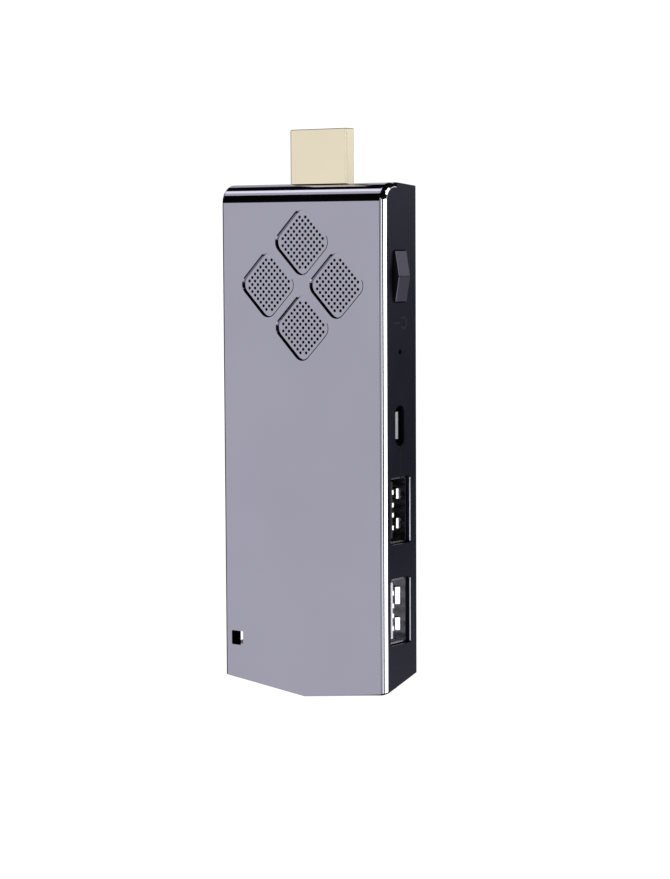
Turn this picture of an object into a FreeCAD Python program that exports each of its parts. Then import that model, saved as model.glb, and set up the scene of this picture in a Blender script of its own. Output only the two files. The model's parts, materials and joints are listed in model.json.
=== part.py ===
"""HDMI streaming stick: aluminium front cover, plastic rear shell, board, ports and power button.

Millimetres. +Z runs up the HDMI plug, the vented front faces -Y and the ports face +X.
The origin is on the plug's axis, where the plug leaves the top of the case.
"""
import FreeCAD, Part
import math
import os
import Sketcher

DIMENSIONS = {
    "body_width": 40.0, "body_depth": 11.1, "body_height": 102.6, "plug_depth": 7.9,
    "vee_rise": 2.4, "bottom_slope": 0.28, "top_fall": 0.6, "roll_radius": 3.6, "roof_front": 4.3,
    "cover_rim": 0.95, "cover_plate": 1.6, "rim_width": 1.35,
    "bevel_front": 0.6, "bevel_side": 0.85, "edge_round": 1.2, "break_front": 0.35, "break_side": 0.15,
    "seam": 0.1, "wall": 1.2, "roof": 1.6,
    "vent_drop": 20.0, "vent_pitch": 12.0, "vent_side": 10.1, "vent_corner": 2.0,
    "vent_recess": 0.45, "rim_front": 0.22, "rim_side": 0.1, "mesh_pitch": 1.0, "mesh_radius": 0.31,
    "back_round": 0.4,
    "board_front": 7.0, "board_thick": 1.2, "board_edge": 17.9, "board_top": 6.6, "board_bottom": 96.2,
    "plug_width": 13.9, "plug_thick": 4.45, "plug_out": 10.9, "plug_in": 6.2,
    "plug_straight": 2.6, "plug_narrow": 10.9, "plug_sheet": 0.35, "plug_corner": 0.3, "plug_ease": 0.12,
    "port_depth": 5.2, "button_drop": 18.2, "button_length": 9.8, "button_width": 3.7,
    "button_end": 0.5, "button_ridge": 0.86, "button_travel": 0.35, "button_round": 0.25,
    "slot_length": 10.3, "slot_width": 4.3, "slot_corner": 0.5, "slot_scoop_radius": 28.3,
    "pinhole_drop": 32.95, "pinhole_radius": 0.5, "wall_cut": 5.0,
    "micro_drop": 47.4, "micro_length": 8.0, "micro_height": 3.1,
    "usb_first": 64.1, "usb_pitch": 20.0, "usb_cut_length": 13.3, "usb_cut_front": 1.9,
    "usb_cut_back": 8.8, "usb_inner_length": 12.3, "usb_inner_height": 5.12, "usb_inner_back": 8.2,
    "usb_sheet": 0.3, "usb_length": 13.6, "usb_sunk": 0.9, "usb_tongue_sunk": 0.6,
    "lanyard_side": 17.0, "lanyard_drop": 92.25, "lanyard_hole": 2.9, "lanyard_post": 2.9,
    "lanyard_depth": 5.6, "screw_radius": 0.75, "boss_radius": 2.0,
}

X_AXIS = FreeCAD.Vector(1, 0, 0)
Y_AXIS = FreeCAD.Vector(0, 1, 0)
Z_AXIS = FreeCAD.Vector(0, 0, 1)
ALONG = {
    "X": FreeCAD.Rotation(Y_AXIS, 90),
    "Y": FreeCAD.Rotation(X_AXIS, -90),
    "Z": FreeCAD.Rotation(),
}

doc = FreeCAD.newDocument("StreamingStick")
sheet = doc.addObject("Spreadsheet::Sheet", "dims")
finished = []


class Size:
    """A length that carries both its number and the spreadsheet expression behind it."""

    def __init__(self, value, text):
        self.value = value
        self.text = text

    def __add__(self, other):
        other = as_size(other)
        return Size(self.value + other.value, f"({self.text} + {other.text})")

    def __sub__(self, other):
        other = as_size(other)
        return Size(self.value - other.value, f"({self.text} - {other.text})")

    def __mul__(self, factor):
        return Size(self.value * factor, f"({self.text} * {factor})")

    def __truediv__(self, divisor):
        return Size(self.value / divisor, f"({self.text} / {divisor})")

    def __neg__(self):
        return self * -1

    def times(self, other):
        return Size(self.value * other.value, f"({self.text} * {other.text})")


def as_size(number):
    """Return a Size for a plain number, or the Size itself."""
    if isinstance(number, Size):
        return number
    return Size(number, f"({number})")


def dim(name):
    """Return the driving dimension of that name."""
    return Size(DIMENSIONS[name], f"dims.{name}")


def depth(distance):
    """Return the Y place that lies a distance behind the front face."""
    return as_size(distance) - dim("plug_depth")


def bind(item, path, size):
    """Set a property through its spreadsheet expression."""
    item.setExpression(path, as_size(size).text)


def finish(item, label):
    """Name a finished sub-part and keep it for the export."""
    item.Label = label
    finished.append(item)
    return item


# ---- Part primitives -----------------------------------------------------------------------


def place(item, point):
    """Bind an object's place to three sizes."""
    for letter, size in zip("xyz", point):
        bind(item, f"Placement.Base.{letter}", size)


def box(name, low, high):
    """Return a box between two corners."""
    item = doc.addObject("Part::Box", name)
    for prop, start, end in zip(("Length", "Width", "Height"), low, high):
        bind(item, prop, as_size(end) - start)
    place(item, low)
    return item


def rod(name, start, axis, radius, length):
    """Return a cylinder that starts at a point and runs along +X, +Y or +Z."""
    item = doc.addObject("Part::Cylinder", name)
    item.Placement = FreeCAD.Placement(FreeCAD.Vector(), ALONG[axis])
    bind(item, "Radius", radius)
    bind(item, "Height", length)
    place(item, start)
    return item


def fuse(name, pieces):
    """Return the union of several objects."""
    item = doc.addObject("Part::MultiFuse", name)
    item.Shapes = pieces
    item.Refine = True
    return item


def cut(name, base, tools):
    """Return the base with every tool taken away."""
    item = doc.addObject("Part::Cut", name)
    item.Base = base
    item.Tool = tools[0] if len(tools) == 1 else fuse(name + "_tools", tools)
    item.Refine = True
    return item


def group(name, pieces):
    """Return separate solids as one compound."""
    item = doc.addObject("Part::Compound", name)
    item.Links = pieces
    return item


def rounded(name, base, radius, choose):
    """Return the base with a fillet on each edge that the test picks."""
    doc.recompute()
    item = doc.addObject("Part::Fillet", name)
    item.Base = base
    item.Edges = [(number, radius, radius) for number, edge in enumerate(base.Shape.Edges, 1)
                  if choose(edge)]
    return item


def runs_along(axis):
    """Return a test for straight edges parallel to an axis."""
    def test(edge):
        if edge.Curve.TypeId != "Part::GeomLine":
            return False
        return abs(edge.tangentAt(edge.FirstParameter).dot(axis)) > 0.999
    return test


def chip(name, low, high, radius=0.15):
    """Return a box with softened upright corners, for parts that lie on the board."""
    return rounded(name, box(name + "_block", low, high), radius, runs_along(Y_AXIS))


# ---- Sketches and bodies -------------------------------------------------------------------


def new_body(name):
    """Return an empty body."""
    return doc.addObject("PartDesign::Body", name)


def new_sketch(body, name, plane, offset=0.0, turn=0.0):
    """Return a sketch on one of the body's own origin planes, moved along its normal."""
    sketch = body.newObject("Sketcher::SketchObject", name)
    sketch.AttachmentSupport = [(p, "") for p in body.Origin.OriginFeatures if p.Role == plane]
    sketch.MapMode = "FlatFace"
    sketch.AttachmentOffset = FreeCAD.Placement(FreeCAD.Vector(), FreeCAD.Rotation(Z_AXIS, turn))
    bind(sketch, "AttachmentOffset.Base.z", offset)
    return sketch


def fix_distance(sketch, kind, geometry, point, size):
    """Hold a point's distance from the sketch's origin to a size."""
    size = as_size(size)
    index = sketch.addConstraint(Sketcher.Constraint(kind, -1, 1, geometry, point, size.value))
    sketch.setExpression(f"Constraints[{index}]", size.text)


def fix_radius(sketch, geometry, size):
    """Hold an arc's or circle's radius to a size."""
    size = as_size(size)
    index = sketch.addConstraint(Sketcher.Constraint("Radius", geometry, size.value))
    sketch.setExpression(f"Constraints[{index}]", size.text)


def arc_between(start, end, radius):
    """Return an arc of less than half a turn; a positive radius turns left from start to end."""
    chord = end - start
    middle = (start + end) * 0.5
    height = math.sqrt(radius * radius - chord.Length ** 2 / 4)
    left = FreeCAD.Vector(-chord.y, chord.x, 0).normalize()
    centre = middle + left * math.copysign(height, radius)
    first = math.atan2(start.y - centre.y, start.x - centre.x)
    last = math.atan2(end.y - centre.y, end.x - centre.x)
    if radius < 0:
        first, last = last, first
    return Part.ArcOfCircle(Part.Circle(centre, Z_AXIS, abs(radius)), first, last)


def outline(sketch, corners):
    """Draw a closed outline. A corner's third value is the radius of the arc to the next one."""
    base = sketch.GeometryCount
    points = [FreeCAD.Vector(as_size(c[0]).value, as_size(c[1]).value, 0) for c in corners]
    count = len(corners)
    ends = []
    for index, corner in enumerate(corners):
        start = points[index]
        end = points[(index + 1) % count]
        if len(corner) == 2:
            sketch.addGeometry(Part.LineSegment(start, end))
            ends.append((1, 2))
            continue
        sketch.addGeometry(arc_between(start, end, as_size(corner[2]).value))
        ends.append((1, 2) if as_size(corner[2]).value > 0 else (2, 1))
    for index, corner in enumerate(corners):
        after = (index + 1) % count
        sketch.addConstraint(Sketcher.Constraint(
            "Coincident", base + index, ends[index][1], base + after, ends[after][0]))
        fix_distance(sketch, "DistanceX", base + index, ends[index][0], corner[0])
        fix_distance(sketch, "DistanceY", base + index, ends[index][0], corner[1])
        if len(corner) == 3:
            radius = as_size(corner[2])
            fix_radius(sketch, base + index, radius if radius.value > 0 else -radius)


def soft_rectangle(sketch, low, high, radius):
    """Draw a rectangle with rounded corners."""
    (left, bottom), (right, top) = [(as_size(a), as_size(b)) for a, b in (low, high)]
    radius = as_size(radius)
    outline(sketch, [
        (left + radius, bottom), (right - radius, bottom, radius),
        (right, bottom + radius), (right, top - radius, radius),
        (right - radius, top), (left + radius, top, radius),
        (left, top - radius), (left, bottom + radius, radius),
    ])


def circle(sketch, centre, radius):
    """Draw a circle."""
    where = FreeCAD.Vector(as_size(centre[0]).value, as_size(centre[1]).value, 0)
    index = sketch.addGeometry(Part.Circle(where, Z_AXIS, as_size(radius).value))
    fix_distance(sketch, "DistanceX", index, 3, centre[0])
    fix_distance(sketch, "DistanceY", index, 3, centre[1])
    fix_radius(sketch, index, radius)


def pad(body, name, sketch, length, symmetric=False, backwards=False):
    """Add a pad of a sketch."""
    feature = body.newObject("PartDesign::Pad", name)
    feature.Profile = sketch
    feature.SideType = "Symmetric" if symmetric else "One side"
    feature.Reversed = backwards
    bind(feature, "Length", length)
    return feature


def pocket(body, name, sketch, length, symmetric=False, backwards=False):
    """Cut a pocket of a sketch and check that it took something away."""
    doc.recompute()
    before = body.Shape.Volume
    feature = body.newObject("PartDesign::Pocket", name)
    feature.Profile = sketch
    feature.SideType = "Symmetric" if symmetric else "One side"
    feature.Reversed = backwards
    bind(feature, "Length", length)
    doc.recompute()
    if body.Shape.Volume > before - 1e-3:
        raise RuntimeError(f"{name} cuts nothing")
    return feature


def slanted(feature, slope):
    """Turn a pad or pocket along the slope of the case's bottom."""
    feature.UseCustomVector = True
    feature.Direction = FreeCAD.Vector(0, 1, slope)


def dress(body, kind, name, edges, size):
    """Chamfer or fillet the named edges of a body."""
    base = body.Tip
    feature = body.newObject(f"PartDesign::{kind}", name)
    feature.Base = (base, edges)
    bind(feature, "Radius" if kind == "Fillet" else "Size", size)
    body.Tip = feature
    doc.recompute()
    return feature


def bevel(body, name, edges, on_front_face, on_side):
    """Chamfer edges of the front face by one distance on it and another down the side."""
    feature = dress(body, "Chamfer", name, edges, on_front_face)
    feature.ChamferType = "Two distances"
    bind(feature, "Size2", on_side)
    doc.recompute()
    return feature


def quarter_pattern(body, name, feature, sketch):
    """Repeat a feature four times round a sketch's normal."""
    pattern = body.newObject("PartDesign::PolarPattern", name)
    pattern.Originals = [feature]
    pattern.Axis = (sketch, ["N_Axis"])
    pattern.Angle = 360
    pattern.Occurrences = 4
    body.Tip = pattern
    doc.recompute()
    return pattern


# ---- Shared outlines -----------------------------------------------------------------------

HALF_WIDTH = dim("body_width") / 2
APEX = -dim("body_height")
CORNER = APEX + dim("vee_rise")
BELOW = APEX - 10.0
SLOPE = dim("bottom_slope")
FLOOR = dim("wall") * 1.1


def bottom_at(distance, base):
    """Return the height of a bottom line at a distance behind the front face."""
    return base + SLOPE.times(as_size(distance))


def rolled_profile(thickness, reach):
    """Return the cover's side profile: flat front, rolled shoulder and a short roof."""
    roll = dim("roll_radius")
    inner = roll - thickness
    return [
        (depth(0.0), BELOW), (depth(0.0), -roll, -roll), (depth(roll), as_size(0.0)),
        (depth(reach), as_size(0.0)), (depth(reach), -thickness), (depth(roll), -thickness, inner),
        (depth(thickness), -roll), (depth(thickness), BELOW),
    ]


def vee_waste(floor):
    """Return the outline of what lies below a V-shaped bottom, at the depth of the plug's axis."""
    side = HALF_WIDTH + 5.0
    shift = SLOPE.times(dim("plug_depth"))
    outer = floor + dim("vee_rise") * (1 + 5.0 / 20.0) + shift
    return [(-side, BELOW - 5.0), (side, BELOW - 5.0), (side, outer),
            (as_size(0.0), floor + shift), (-side, outer)]


def cut_vee(body, name, floor):
    """Cut a body off below the V-shaped, slanted bottom."""
    sketch = new_sketch(body, name + "_outline", "XZ_Plane")
    outline(sketch, vee_waste(floor))
    doc.recompute()
    feature = body.newObject("PartDesign::Pocket", name)
    feature.Profile = sketch
    feature.SideType = "Symmetric"
    slanted(feature, DIMENSIONS["bottom_slope"])
    bind(feature, "Length", dim("body_depth") * 4)
    doc.recompute()
    return feature


# ---- Case ----------------------------------------------------------------------------------


def front_cover():
    """Aluminium cover with a rolled top, bevelled long edges and four sunk, drilled vents."""
    body = new_body("front_cover")
    plate = new_sketch(body, "cover_plate_outline", "YZ_Plane")
    outline(plate, rolled_profile(dim("cover_plate"), dim("roof_front")))
    pad(body, "cover_thick_plate", plate, dim("body_width") - dim("rim_width") * 2, symmetric=True)
    cut_vee(body, "cover_plate_vee", APEX + FLOOR + dim("seam") * 2.5)
    rim = new_sketch(body, "cover_rim_outline", "YZ_Plane")
    outline(rim, rolled_profile(dim("cover_rim"), dim("roof_front")))
    pad(body, "cover_rim_sheet", rim, dim("body_width"), symmetric=True)
    cut_vee(body, "cover_vee", APEX)
    bevel_cover(body)
    add_vents(body)
    hole = new_sketch(body, "cover_lanyard_outline", "XZ_Plane", dim("plug_depth"))
    half = dim("lanyard_hole") / 2
    soft_rectangle(hole, (-dim("lanyard_side") - half, -dim("lanyard_drop") - half),
                   (-dim("lanyard_side") + half, -dim("lanyard_drop") + half), 0.2)
    pocket(body, "cover_lanyard_hole", hole, 4.0)
    finish(body, "front_cover")


def outer_edges(shape, side):
    """Return the names of the long edges at one X place that lie on the cover's outer skin."""
    front = -DIMENSIONS["plug_depth"]
    roll = DIMENSIONS["roll_radius"]
    names = []
    for number, edge in enumerate(shape.Edges, 1):
        middle = edge.valueAt((edge.FirstParameter + edge.LastParameter) / 2)
        bounds = edge.BoundBox
        if abs(bounds.XMin - side) > 0.01 or abs(bounds.XMax - side) > 0.01:
            continue
        from_axis = math.hypot(middle.y - front - roll, middle.z + roll)
        on_front = abs(middle.y - front) < 0.01
        on_roof = abs(middle.z) < 0.01
        if on_front or on_roof or abs(from_axis - roll) < 0.01:
            names.append(f"Edge{number}")
    return names


def foot_edges(shape):
    """Return the names of the two front edges that form the V at the foot."""
    front = -DIMENSIONS["plug_depth"]
    names = []
    for number, edge in enumerate(shape.Edges, 1):
        bounds = edge.BoundBox
        on_front = abs(bounds.YMin - front) < 0.001 and abs(bounds.YMax - front) < 0.001
        if on_front and bounds.ZMax < CORNER.value + 0.2 and bounds.ZLength > 1.0:
            names.append(f"Edge{number}")
    return names


def bevel_cover(body):
    """Bevel and soften the long edge over the ports, then break the other front edges."""
    width = DIMENSIONS["body_width"] / 2
    sides = (dim("bevel_front"), dim("bevel_side"))
    bevel(body, "cover_bevel", outer_edges(body.Tip.Shape, width), *sides)
    inner = width - DIMENSIONS["bevel_front"]
    dress(body, "Fillet", "cover_soft_edge", outer_edges(body.Tip.Shape, inner), dim("edge_round"))
    breaks = (dim("break_front"), dim("break_side"))
    bevel(body, "cover_far_edge", outer_edges(body.Tip.Shape, -width), *breaks)
    bevel(body, "cover_foot_edge", foot_edges(body.Tip.Shape), *breaks)


def add_vents(body):
    """Sink four square vents, set as diamonds, and drill a lattice of holes in each."""
    centre = dim("vent_pitch") / 2
    half = dim("vent_side") / 2
    recess = vent_sketch(body, "vent_recess_outline")
    soft_rectangle(recess, (centre - half, centre - half), (centre + half, centre + half),
                   dim("vent_corner"))
    sunk = pocket(body, "vent_recess", recess, dim("vent_recess"))
    quarter_pattern(body, "vent_recesses", sunk, recess)
    soften_vent_rims(body)
    lattice = vent_sketch(body, "vent_hole_lattice")
    steps = range(-4, 5)
    for row in steps:
        for column in steps:
            if abs(row) == 4 and abs(column) == 4:
                continue
            circle(lattice, (centre + dim("mesh_pitch") * column, centre + dim("mesh_pitch") * row),
                   dim("mesh_radius"))
    drilled = pocket(body, "vent_holes", lattice, 4.0)
    quarter_pattern(body, "vent_hole_sets", drilled, lattice)


def soften_vent_rims(body):
    """Break the sharp rim of each sunk vent."""
    front = -DIMENSIONS["plug_depth"]
    reach = DIMENSIONS["body_width"] / 2 - 3.0
    names = []
    for number, edge in enumerate(body.Tip.Shape.Edges, 1):
        bounds = edge.BoundBox
        on_front = abs(bounds.YMin - front) < 0.001 and abs(bounds.YMax - front) < 0.001
        if on_front and max(abs(bounds.XMin), abs(bounds.XMax)) < reach:
            names.append(f"Edge{number}")
    bevel(body, "vent_rims", names, dim("rim_front"), dim("rim_side"))


def vent_sketch(body, name):
    """Return a sketch on the front face, centred on the vents and turned by 45 degrees."""
    sketch = new_sketch(body, name, "XZ_Plane", dim("plug_depth"), turn=45)
    bind(sketch, "AttachmentOffset.Base.y", -dim("vent_drop"))
    return sketch


def rear_shell():
    """Plastic tub: side walls, back, roof, bosses, lanyard block and every side opening."""
    body = new_body("rear_shell")
    back = depth(dim("body_depth"))
    side = new_sketch(body, "shell_side_outline", "YZ_Plane")
    start = dim("cover_rim") + dim("seam")
    roll = dim("roll_radius")
    outline(side, [
        (depth(start), BELOW), (depth(start), -roll, -(roll - start)), (depth(roll), -start),
        (depth(dim("roof_front") + dim("seam")), -start),
        (depth(dim("roof_front") + dim("seam")), as_size(0.0)),
        (back, -dim("top_fall")), (back, BELOW),
    ])
    pad(body, "shell_block", side, dim("body_width"), symmetric=True)
    doc.recompute()
    cut_vee(body, "shell_vee", APEX)
    soften_back(body)
    hollow_shell(body)
    add_shell_blocks(body)
    cut_side_openings(body)
    cut_lanyard_way(body)
    plug_slot(body)
    finish(body, "rear_shell")


def soften_back(body):
    """Round the edges of the flat back."""
    back = DIMENSIONS["body_depth"] - DIMENSIONS["plug_depth"]
    names = [f"Edge{number}" for number, edge in enumerate(body.Tip.Shape.Edges, 1)
             if abs(edge.BoundBox.YMin - back) < 0.001]
    dress(body, "Fillet", "shell_back_edges", names, dim("back_round"))


def hollow_shell(body):
    """Hollow the tub down to the flat part of its floor, then follow the V and the slope."""
    inner_back = dim("body_depth") - dim("wall")
    inner_width = dim("body_width") - dim("wall") * 2
    floor = CORNER + FLOOR
    front = as_size(-2.0)
    roof_start = dim("roof_front") + dim("seam")
    hollow = new_sketch(body, "shell_hollow_outline", "YZ_Plane")
    outline(hollow, [
        (depth(front), bottom_at(front, floor)), (depth(inner_back), bottom_at(inner_back, floor)),
        (depth(inner_back), -dim("roof")), (depth(roof_start), -dim("roof")),
        (depth(roof_start), as_size(2.0)), (depth(front), as_size(2.0)),
    ])
    pocket(body, "shell_hollow", hollow, inner_width, symmetric=True)
    keel = new_sketch(body, "shell_keel_outline", "XZ_Plane", dim("plug_depth"))
    half = inner_width / 2
    tip = APEX + FLOOR
    outline(keel, [(-half, floor + 0.01), (as_size(0.0), tip), (half, floor + 0.01)])
    doc.recompute()
    feature = body.newObject("PartDesign::Pocket", "shell_keel")
    feature.Profile = keel
    slanted(feature, DIMENSIONS["bottom_slope"])
    bind(feature, "Length", inner_back * 1.0385)
    doc.recompute()


BOSSES = ((-14.5, -12.0), (1.5, -56.0), (-14.5, -56.0), (1.5, -93.5))


def add_shell_blocks(body):
    """Add the screw bosses and the solid block that the lanyard way is cut through."""
    behind = dim("board_front") + dim("board_thick")
    inner_back = dim("body_depth") - dim("wall")
    bosses = new_sketch(body, "shell_boss_circles", "XZ_Plane", -depth(inner_back + 0.2))
    for across, height in BOSSES:
        circle(bosses, (as_size(across), as_size(height)), dim("boss_radius"))
    pad(body, "shell_bosses", bosses, inner_back + 0.2 - behind)
    half = dim("lanyard_hole") / 2
    block = new_sketch(body, "shell_lanyard_block", "XZ_Plane", -depth(dim("lanyard_depth") + 1.0))
    soft_rectangle(block, (-HALF_WIDTH + 0.3, -dim("lanyard_drop") - half - 1.0),
                   (-dim("lanyard_side") + half + 1.0, -dim("lanyard_drop") + half + 1.0), 0.2)
    start = dim("cover_plate") + dim("seam")
    pad(body, "shell_lanyard_solid", block, dim("lanyard_depth") + 1.0 - start)
    pilots = new_sketch(body, "shell_pilot_circles", "XZ_Plane", -depth(behind))
    for across, height in BOSSES:
        circle(pilots, (as_size(across), as_size(height)), dim("screw_radius") + 0.02)
    pocket(body, "shell_pilot_holes", pilots, 2.2)


def cut_side_openings(body):
    """Cut the button slot, the indicator hole, the micro USB hole and both USB openings."""
    cuts = new_sketch(body, "shell_side_cuts", "YZ_Plane", HALF_WIDTH - 3.0)
    middle = depth(dim("port_depth"))
    half = dim("slot_width") / 2
    low = -dim("button_drop") - dim("slot_length") / 2
    high = -dim("button_drop") + dim("slot_length") / 2
    corner = dim("slot_corner")
    outline(cuts, [
        (middle - half + 0.2, low), (middle + half - corner, low, corner),
        (middle + half, low + corner), (middle + half, high - corner, corner),
        (middle + half - corner, high),
        (middle - half + 0.2, high, dim("slot_scoop_radius")),
    ])
    circle(cuts, (middle + 0.1, -dim("pinhole_drop")), dim("pinhole_radius"))
    height = dim("micro_height") / 2
    length = dim("micro_length") / 2
    soft_rectangle(cuts, (middle - height, -dim("micro_drop") - length),
                   (middle + height, -dim("micro_drop") + length), height - 0.05)
    for port in range(2):
        centre = -dim("usb_first") - dim("usb_pitch") * port
        span = dim("usb_cut_length") / 2
        soft_rectangle(cuts, (depth(dim("usb_cut_front")), centre - span),
                       (depth(dim("usb_cut_back")), centre + span), 0.6)
    pocket(body, "shell_side_openings", cuts, dim("wall_cut"), backwards=True)


def cut_lanyard_way(body):
    """Cut the cord way in from the front and out through the left wall, leaving a post."""
    half = dim("lanyard_hole") / 2
    centre = -dim("lanyard_side")
    front = new_sketch(body, "shell_lanyard_front", "XZ_Plane", -depth(dim("lanyard_depth")))
    soft_rectangle(front, (centre - half, -dim("lanyard_drop") - half),
                   (centre + half, -dim("lanyard_drop") + half), 0.2)
    pocket(body, "shell_lanyard_in", front, dim("lanyard_depth") + 1.0, backwards=True)
    side = new_sketch(body, "shell_lanyard_side", "YZ_Plane", centre)
    soft_rectangle(side, (depth(dim("lanyard_post")), -dim("lanyard_drop") - half),
                   (depth(dim("lanyard_depth")), -dim("lanyard_drop") + half), 0.2)
    pocket(body, "shell_lanyard_out", side, 6.0)


def plug_slot(body):
    """Cut the plug's slot through the roof."""
    slot = new_sketch(body, "shell_plug_slot", "XY_Plane", 1.0)
    outline(slot, plug_outline(as_size(0.06)))
    pocket(body, "shell_plug_hole", slot, dim("plug_in") + 1.3)


def cover_tape():
    """Thin adhesive frame between the cover's rim and the rear shell's walls."""
    body = new_body("cover_tape")
    frame = new_sketch(body, "cover_tape_outline", "XZ_Plane", -depth(dim("cover_rim")))
    outer = HALF_WIDTH - 0.1
    inner = HALF_WIDTH - dim("wall")
    top = -dim("roll_radius") - 0.1
    low = APEX + 0.4
    high = APEX + FLOOR + 0.2
    outline(frame, [
        (-outer, top), (-inner, top), (-inner, high + dim("vee_rise")), (as_size(0.0), high),
        (inner, high + dim("vee_rise")), (inner, top), (outer, top),
        (outer, low + dim("vee_rise")), (as_size(0.0), low), (-outer, low + dim("vee_rise")),
    ])
    pad(body, "cover_tape_sheet", frame, dim("seam"), backwards=True)
    finish(body, "cover_tape")


def vent_mesh():
    """Black dust mesh glued behind the vents."""
    body = new_body("vent_mesh")
    sheet_outline = vent_mesh_sketch(body)
    reach = dim("vent_pitch") / 2 + dim("vent_side") / 2 + 0.6
    soft_rectangle(sheet_outline, (-reach, -reach), (reach, reach), 2.5)
    pad(body, "vent_mesh_sheet", sheet_outline, 0.2, backwards=True)
    finish(body, "vent_mesh")


def vent_mesh_sketch(body):
    """Return a sketch on the cover's inner face, turned like the vents."""
    sketch = new_sketch(body, "vent_mesh_outline", "XZ_Plane", -depth(dim("cover_plate")), turn=45)
    bind(sketch, "AttachmentOffset.Base.y", -dim("vent_drop"))
    return sketch


# ---- HDMI plug -----------------------------------------------------------------------------


def plug_outline(grow):
    """Return the plug's outline: wide in front, with both back corners cut off."""
    wide = dim("plug_width") / 2 + grow
    narrow = dim("plug_narrow") / 2 + grow
    front = -dim("plug_thick") / 2 - grow
    shoulder = front + dim("plug_straight") + grow
    back = dim("plug_thick") / 2 + grow
    return [(-wide, front), (wide, front), (wide, shoulder),
            (narrow, back), (-narrow, back), (-wide, shoulder)]


def hdmi_plug():
    """Gold-plated plug shell, its black insulator and two rows of contacts."""
    body = new_body("hdmi_shell")
    outer = new_sketch(body, "hdmi_outline", "XY_Plane", -dim("plug_in"))
    outline(outer, plug_outline(as_size(0.0)))
    outline(outer, plug_outline(-dim("plug_sheet")))
    pad(body, "hdmi_tube", outer, dim("plug_in") + dim("plug_out"))
    doc.recompute()
    soften_plug(body)
    finish(body, "hdmi_shell")
    core = new_body("hdmi_insulator")
    rear = new_sketch(core, "hdmi_core_outline", "XY_Plane", -dim("plug_in"))
    outline(rear, plug_outline(-dim("plug_sheet") - 0.02))
    pad(core, "hdmi_core_block", rear, dim("plug_in") + 1.5)
    doc.recompute()
    slot = new_sketch(core, "hdmi_slot_outline", "XY_Plane", dim("plug_out") - 0.4)
    lining = plug_outline(-dim("plug_sheet") - 0.02)
    outline(slot, lining)
    outline(slot, [(as_size(-5.6), as_size(-0.75)), (as_size(5.6), as_size(-0.75)),
                   (as_size(5.6), as_size(0.75)), (as_size(-5.6), as_size(0.75))])
    pad(core, "hdmi_lining", slot, dim("plug_out") - 0.4 - 1.5, backwards=True)
    finish(core, "hdmi_insulator")
    contacts = []
    for row, count, y_low in ((0, 10, -0.75), (1, 9, 0.5)):
        for index in range(count):
            across = (index - (count - 1) / 2) * 1.0
            low = (across - 0.2, y_low, 1.5)
            high = (across + 0.2, y_low + 0.25, dim("plug_out") - 1.2)
            contacts.append(box(f"hdmi_contact_{row}_{index}", low, high))
    finish(group("hdmi_contacts", contacts), "hdmi_contacts")


def soften_plug(body):
    """Round the plug shell's outer corners and ease the outer edge of its mouth."""
    inside = DIMENSIONS["plug_sheet"] * 0.8
    half_width = DIMENSIONS["plug_width"] / 2
    half_thick = DIMENSIONS["plug_thick"] / 2
    corners = []
    for number, edge in enumerate(body.Tip.Shape.Edges, 1):
        middle = edge.BoundBox.Center
        outer = abs(middle.y) > half_thick - inside or abs(middle.x) > half_width - inside
        if outer and edge.BoundBox.ZLength > 1.0:
            corners.append(f"Edge{number}")
    soft = dress(body, "Fillet", "hdmi_corners", corners, dim("plug_corner"))
    mouth = [f"Edge{number}" for number, edge in enumerate(soft.Shape.Edges, 1)
             if edge.BoundBox.ZMin > DIMENSIONS["plug_out"] - 0.001
             and on_plug_skin(edge, half_width, half_thick, inside)]
    dress(body, "Chamfer", "hdmi_mouth", mouth, dim("plug_ease"))


def on_plug_skin(edge, half_width, half_thick, inside):
    """Tell whether a mouth edge lies on the outside of the plug's sheet."""
    middle = edge.valueAt((edge.FirstParameter + edge.LastParameter) / 2)
    wide_part = abs(middle.x) > half_width - inside or abs(middle.y) > half_thick - inside
    slope_run = half_width - DIMENSIONS["plug_narrow"] / 2
    slope_rise = DIMENSIONS["plug_thick"] - DIMENSIONS["plug_straight"]
    across = (half_width - abs(middle.x)) / slope_run + (half_thick - middle.y) / slope_rise
    return wide_part or across < 1.1


# ---- Board and what it carries --------------------------------------------------------------

# Places on the board in millimetres: left, right, low and high edge, then the thickness.
LAYOUT = {
    "soc_chip": (-10.0, 4.0, -27.0, -13.0, 1.3),
    "thermal_pad": (-9.5, 3.5, -26.5, -13.5, 0.8),
    "sink_plate": (-13.0, 12.0, -38.0, -8.5, 0.9),
    "memory_0": (-12.0, -3.0, -30.0, -17.0, 1.0),
    "memory_1": (-0.5, 8.5, -30.0, -17.0, 1.0),
    "flash_chip": (-6.0, 5.5, -52.5, -40.0, 1.0),
    "power_chip": (-15.5, -9.5, -47.0, -41.0, 0.9),
    "usb_hub_chip": (-4.0, 2.0, -66.5, -60.5, 0.9),
    "inductor_0": (-17.0, -13.2, -53.0, -49.2, 1.8),
    "inductor_1": (-12.6, -8.8, -53.0, -49.2, 1.8),
    "clock_soc": (6.5, 9.0, -43.2, -40.0, 0.7),
    "clock_wifi": (-1.5, 1.0, -78.0, -74.8, 0.7),
    "wifi_module": (-17.0, -5.0, -75.0, -63.0, 0.8),
    "wifi_can": (-16.5, -5.5, -74.5, -63.5, 1.5),
    "status_led": (14.0, 15.9, -33.75, -32.15, 2.2),
}
FIN_COUNT = 11
FIN_PITCH = 2.42
FIN_WIDTH = 0.8
FIN_HEIGHT = 1.7
SCREW_HEAD = 1.4
SCREW_HEAD_THICK = 0.8
SLOT_HALF = 0.14
SLOT_REACH = 0.8
CAPACITORS = 6
CAPACITOR_SIZE = (0.8, 0.8, 1.6)
CAPACITOR_START = (-12.0, -59.2)
CAPACITOR_PITCH = 2.0


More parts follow.
